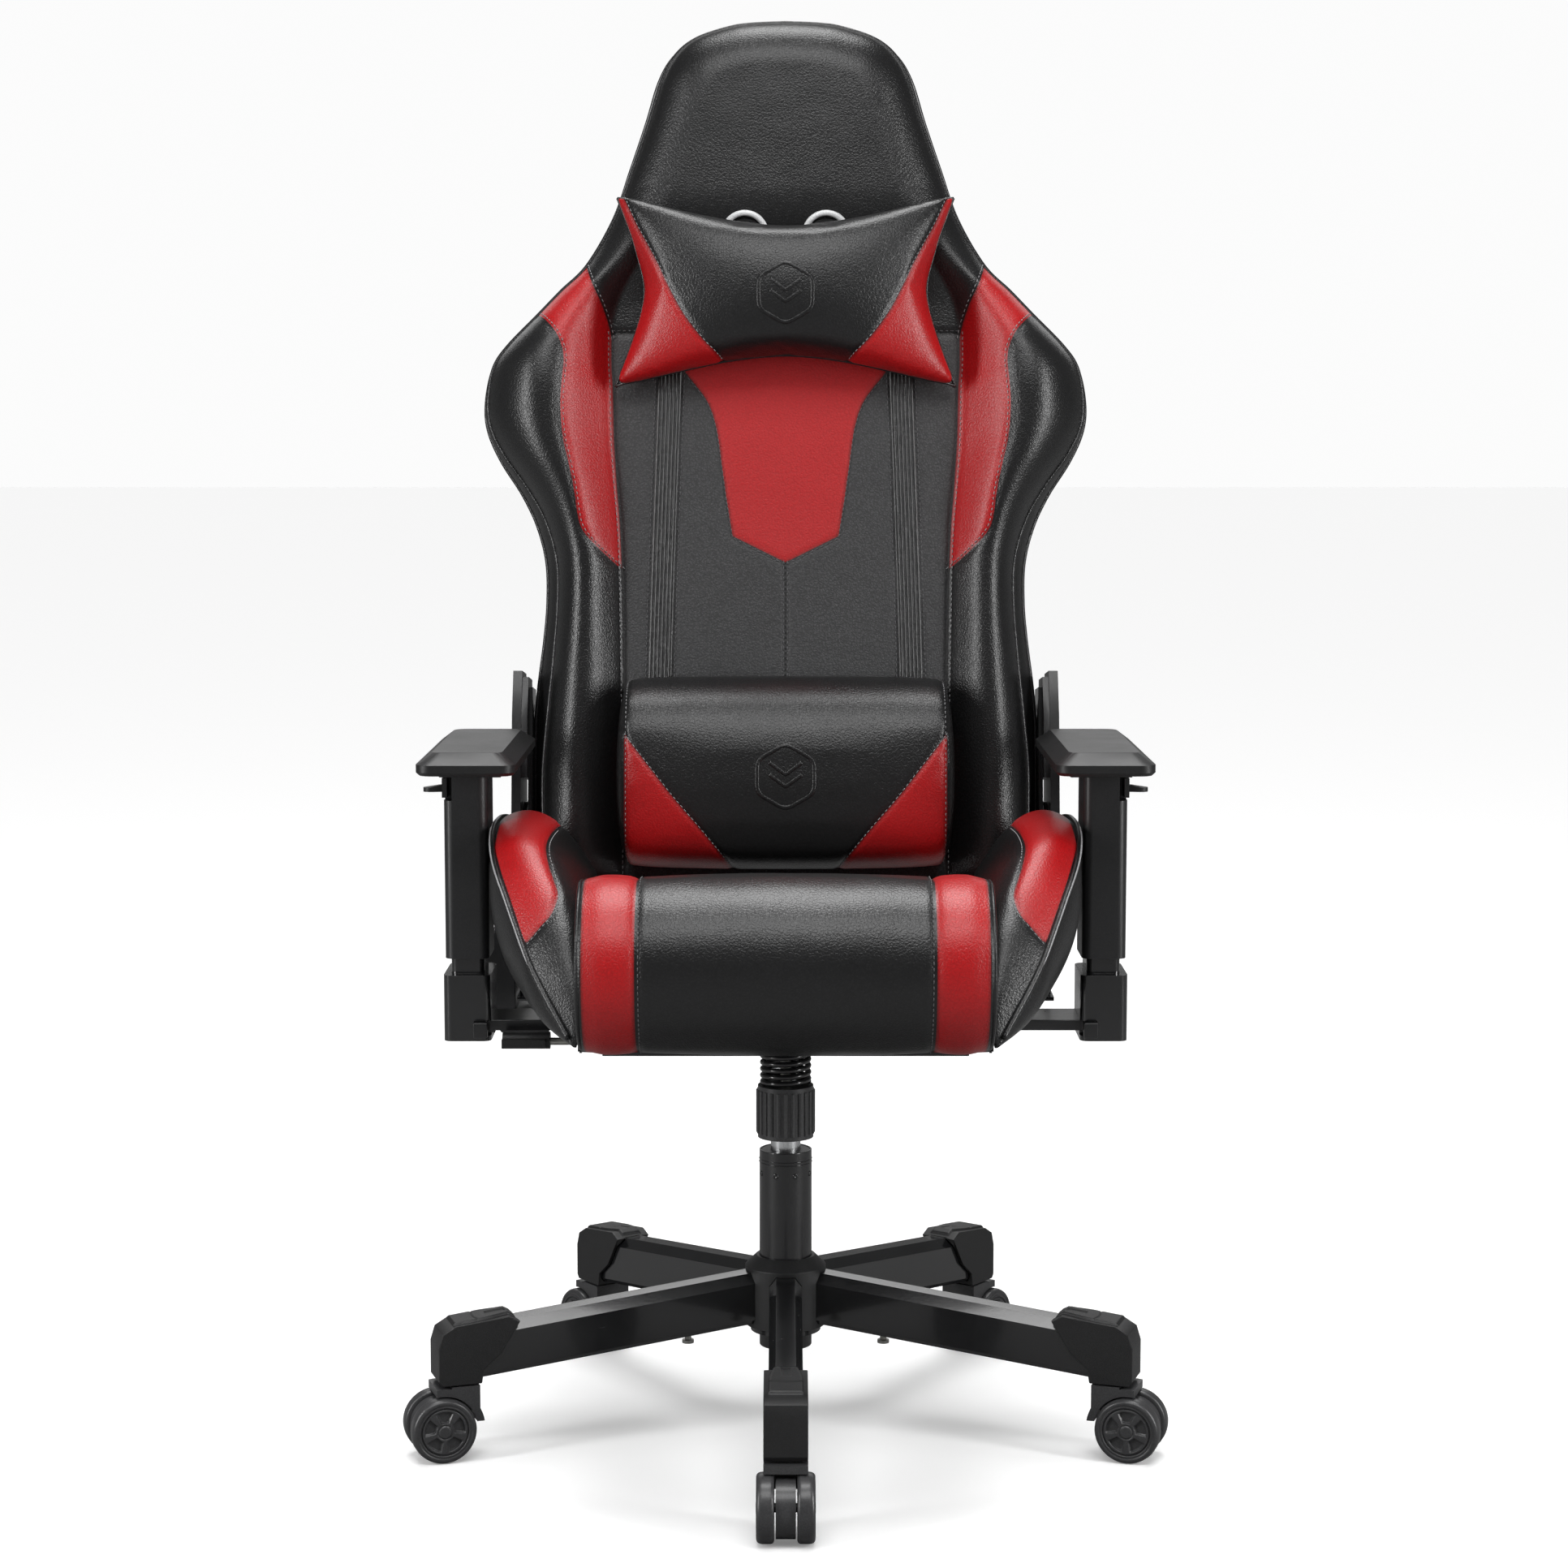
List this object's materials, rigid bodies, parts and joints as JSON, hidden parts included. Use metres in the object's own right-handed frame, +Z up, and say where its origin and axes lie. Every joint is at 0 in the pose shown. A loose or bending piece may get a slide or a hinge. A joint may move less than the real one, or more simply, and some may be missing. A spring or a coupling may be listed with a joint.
{
  "type": "gaming chair",
  "caption": "Bucket-seat swivel chair with winged reclining back, pillows, adjustable arms, gas lift and castered star base.",
  "frame": {"origin": "on the floor, on the axis of the gas lift column, at the middle of the footprint", "axes": "+Z up, the sitter faces -Y, +X is at the sitter's left"},
  "size_m": [0.703, 0.7166, 1.3415],
  "materials": {
    "steel_black_gloss": "gloss black powder coat",
    "steel_black_satin": "satin black powder coat",
    "plastic_textured": "spark-textured black nylon",
    "caster_nylon": "satin dark grey nylon",
    "knob_plastic": "satin black moulded ribs",
    "pad_polyurethane": "soft black polyurethane skin",
    "chrome_cylinder": "polished",
    "zinc_steel": "zinc plated",
    "spring_steel": "black oiled spring steel",
    "eyelet_metal": "silver trim",
    "webbing": "woven elastic",
    "leather_black": "grained black faux leather",
    "leather_red": "grained red faux leather",
    "leather_grey": "coarse grained dark grey faux leather",
    "piping_thread": "grey piping and thread"
  },
  "bodies": {
    "root": {"base_star": "steel_black_gloss", "hub_cover": "plastic_textured", "leg_caps": "plastic_textured", "leg_screws": "zinc_steel", "caster_stems": "zinc_steel", "column_tube": "steel_black_gloss", "guide_bush": "plastic_textured", "thrust_bearing": "zinc_steel"},
    "caster_1": {"caster_hood_1": "caster_nylon"},
    "wheels_1": {"caster_wheels_1": "caster_nylon"},
    "caster_2": {"caster_hood_2": "caster_nylon"},
    "wheels_2": {"caster_wheels_2": "caster_nylon"},
    "caster_3": {"caster_hood_3": "caster_nylon"},
    "wheels_3": {"caster_wheels_3": "caster_nylon"},
    "caster_4": {"caster_hood_4": "caster_nylon"},
    "wheels_4": {"caster_wheels_4": "caster_nylon"},
    "caster_5": {"caster_hood_5": "caster_nylon"},
    "wheels_5": {"caster_wheels_5": "caster_nylon"},
    "spindle": {"piston_rod": "chrome_cylinder"},
    "lift": {"pressure_cylinder": "chrome_cylinder", "mechanism_base": "steel_black_satin", "tilt_pivot_pin": "zinc_steel", "tension_spring": "spring_steel"},
    "valve": {"valve_pin": "zinc_steel"},
    "lever": {"lift_lever": "zinc_steel", "lift_lever_grip": "plastic_textured"},
    "seat": {"mechanism_plate": "steel_black_satin", "tension_bolt": "zinc_steel", "seat_frame": "steel_black_satin", "seat_webbing": "webbing", "seat_cushion": "leather_red", "seat_bolster_left": "leather_black", "seat_bolster_right": "leather_black", "frame_bolts": "zinc_steel", "recliner_lower_left": "steel_black_satin", "recliner_lower_right": "steel_black_satin", "recliner_housing": "plastic_textured", "arm_bracket_left": "steel_black_satin", "arm_bracket_right": "steel_black_satin", "arm_post_left": "plastic_textured", "arm_post_right": "plastic_textured"},
    "knob": {"tension_knob": "knob_plastic"},
    "arm_left": {"arm_sleeve_left": "plastic_textured", "arm_pad_left": "pad_polyurethane"},
    "trigger_left": {"arm_trigger_left": "plastic_textured"},
    "arm_right": {"arm_sleeve_right": "plastic_textured", "arm_pad_right": "pad_polyurethane"},
    "trigger_right": {"arm_trigger_right": "plastic_textured"},
    "backrest": {"back_frame": "steel_black_satin", "back_cushion": "leather_black", "back_rear_panel": "leather_black", "eyelet_rings": "eyelet_metal", "head_pillow": "leather_black", "lumbar_pillow": "leather_black", "pillow_straps": "webbing", "recliner_upper_left": "zinc_steel", "recliner_upper_right": "zinc_steel", "recliner_cover_left": "plastic_textured", "recliner_cover_right": "plastic_textured"},
    "recline_lever": {"recline_handle": "plastic_textured"}
  },
  "joints": [
    {"name": "caster_swivel_1", "type": "hinge", "parent": "root", "child": "caster_1", "pos_m": [0, -0.313, 0.07], "axis": [0, 0, 1], "continuous": true},
    {"name": "caster_roll_1", "type": "hinge", "parent": "caster_1", "child": "wheels_1", "pos_m": [0, -0.333, 0.03], "axis": [1, 0, 0], "continuous": true},
    {"name": "caster_swivel_2", "type": "hinge", "parent": "root", "child": "caster_2", "pos_m": [0.29768, -0.09672, 0.07], "axis": [0, 0, 1], "continuous": true},
    {"name": "caster_roll_2", "type": "hinge", "parent": "caster_2", "child": "wheels_2", "pos_m": [0.3167, -0.1029, 0.03], "axis": [0.309, 0.9511, 0], "continuous": true},
    {"name": "caster_swivel_3", "type": "hinge", "parent": "root", "child": "caster_3", "pos_m": [0.18398, 0.25322, 0.07], "axis": [0, 0, 1], "continuous": true},
    {"name": "caster_roll_3", "type": "hinge", "parent": "caster_3", "child": "wheels_3", "pos_m": [0.19573, 0.2694, 0.03], "axis": [-0.809, 0.5878, 0], "continuous": true},
    {"name": "caster_swivel_4", "type": "hinge", "parent": "root", "child": "caster_4", "pos_m": [-0.18398, 0.25322, 0.07], "axis": [0, 0, 1], "continuous": true},
    {"name": "caster_roll_4", "type": "hinge", "parent": "caster_4", "child": "wheels_4", "pos_m": [-0.19573, 0.2694, 0.03], "axis": [-0.809, -0.5878, 0], "continuous": true},
    {"name": "caster_swivel_5", "type": "hinge", "parent": "root", "child": "caster_5", "pos_m": [-0.29768, -0.09672, 0.07], "axis": [0, 0, 1], "continuous": true},
    {"name": "caster_roll_5", "type": "hinge", "parent": "caster_5", "child": "wheels_5", "pos_m": [-0.3167, -0.1029, 0.03], "axis": [0.309, -0.9511, 0], "continuous": true},
    {"name": "swivel", "type": "hinge", "parent": "root", "child": "spindle", "pos_m": [0, 0, 0.087], "axis": [0, 0, 1], "continuous": true},
    {"name": "height", "type": "slide", "parent": "spindle", "child": "lift", "axis": [0, 0, 1], "range_m": [-0.08, 0]},
    {"name": "tilt", "type": "hinge", "parent": "lift", "child": "seat", "pos_m": [0, 0.03, 0.377], "axis": [-1, 0, 0], "range_deg": [0, 10], "stiffness_Nm_per_rad": 200, "springref_deg": -20.05, "deforming": ["tension_spring"]},
    {"name": "lift_lever", "type": "hinge", "parent": "lift", "child": "lever", "pos_m": [-0.0345, -0.028, 0.3722], "axis": [0, 1, 0], "range_deg": [0, 3.5], "stiffness_Nm_per_rad": 3, "springref_deg": -8.59},
    {"name": "valve_press", "type": "slide", "parent": "lift", "child": "valve", "axis": [0, 0, -1], "range_m": [0, 0.0022]},
    {"name": "tension_turn", "type": "hinge", "parent": "seat", "child": "knob", "pos_m": [0, -0.074, 0.3], "axis": [0, 0, 1], "range_deg": [-360, 360]},
    {"name": "recline", "type": "hinge", "parent": "seat", "child": "backrest", "pos_m": [0, 0.213, 0.53], "axis": [-1, 0, 0], "range_deg": [0, 60]},
    {"name": "recline_handle_pull", "type": "hinge", "parent": "seat", "child": "recline_lever", "pos_m": [-0.276, 0.213, 0.53], "axis": [-1, 0, 0], "range_deg": [0, 20], "stiffness_Nm_per_rad": 1, "springref_deg": -17.19},
    {"name": "arm_height_left", "type": "slide", "parent": "seat", "child": "arm_left", "axis": [0, 0, 1], "range_m": [-0.014, 0.056]},
    {"name": "arm_trigger_left", "type": "hinge", "parent": "arm_left", "child": "trigger_left", "pos_m": [0.3135, 0.001, 0.606], "axis": [0, -1, 0], "range_deg": [0, 10], "stiffness_Nm_per_rad": 0.3, "springref_deg": -11.46},
    {"name": "arm_height_right", "type": "slide", "parent": "seat", "child": "arm_right", "axis": [0, 0, 1], "range_m": [-0.014, 0.056]},
    {"name": "arm_trigger_right", "type": "hinge", "parent": "arm_right", "child": "trigger_right", "pos_m": [-0.3135, 0.001, 0.606], "axis": [0, 1, 0], "range_deg": [0, 10], "stiffness_Nm_per_rad": 0.3, "springref_deg": -11.46}
  ],
  "couplings": [
    {"joint": "valve_press", "follows": "lift_lever", "m_per_rad": 0.0345}
  ]
}
